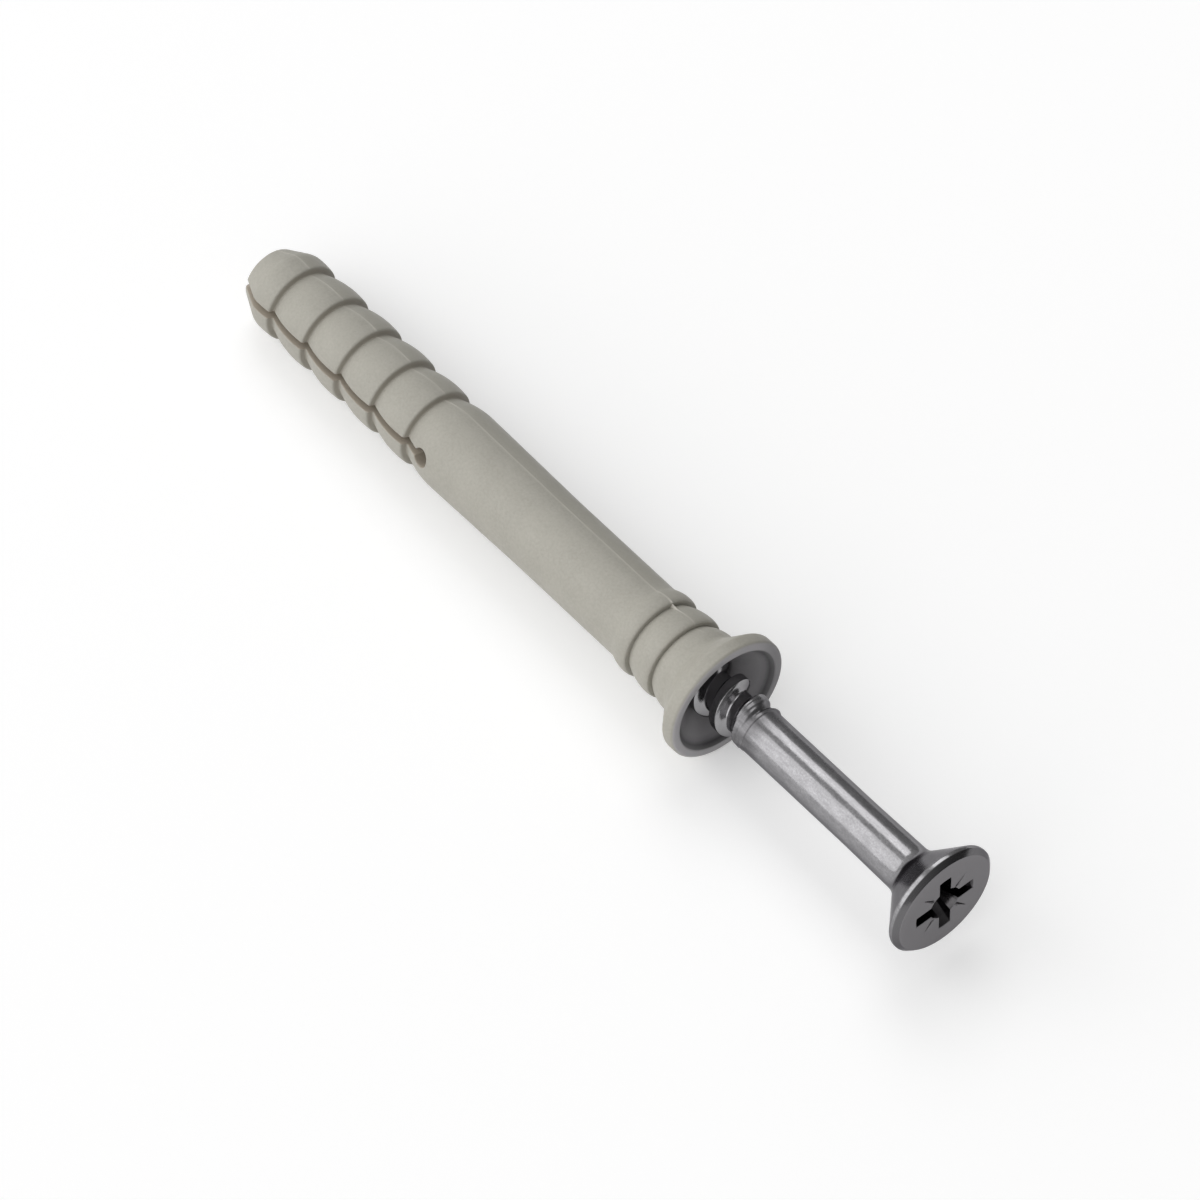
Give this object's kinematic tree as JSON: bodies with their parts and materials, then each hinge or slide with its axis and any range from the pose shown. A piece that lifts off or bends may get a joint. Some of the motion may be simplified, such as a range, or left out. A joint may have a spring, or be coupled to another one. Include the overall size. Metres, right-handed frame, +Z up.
{
  "type": "hammer fixing plug",
  "caption": "Hammer-in wall fixing: a split, barbed nylon sleeve with a countersunk collar, and a cross-recessed steel drive screw started in its bore.",
  "frame": {"origin": "on the surface that the fixing lies on, under the middle of its length", "axes": "+X along the fixing as it lies, from the nose towards the screw head; +Z up"},
  "size_m": [0.0702, 0.0096, 0.0098],
  "materials": {
    "nylon": "satin",
    "zinc_steel": "zinc plated"
  },
  "bodies": {
    "sleeve": {"sleeve": "nylon"},
    "screw": {"drive_screw": "zinc_steel"}
  },
  "joints": [
    {"name": "screw_drive", "type": "slide", "parent": "sleeve", "child": "screw", "axis": [-0.9993, 0, -0.0369], "range_m": [0, 0.0205]}
  ]
}
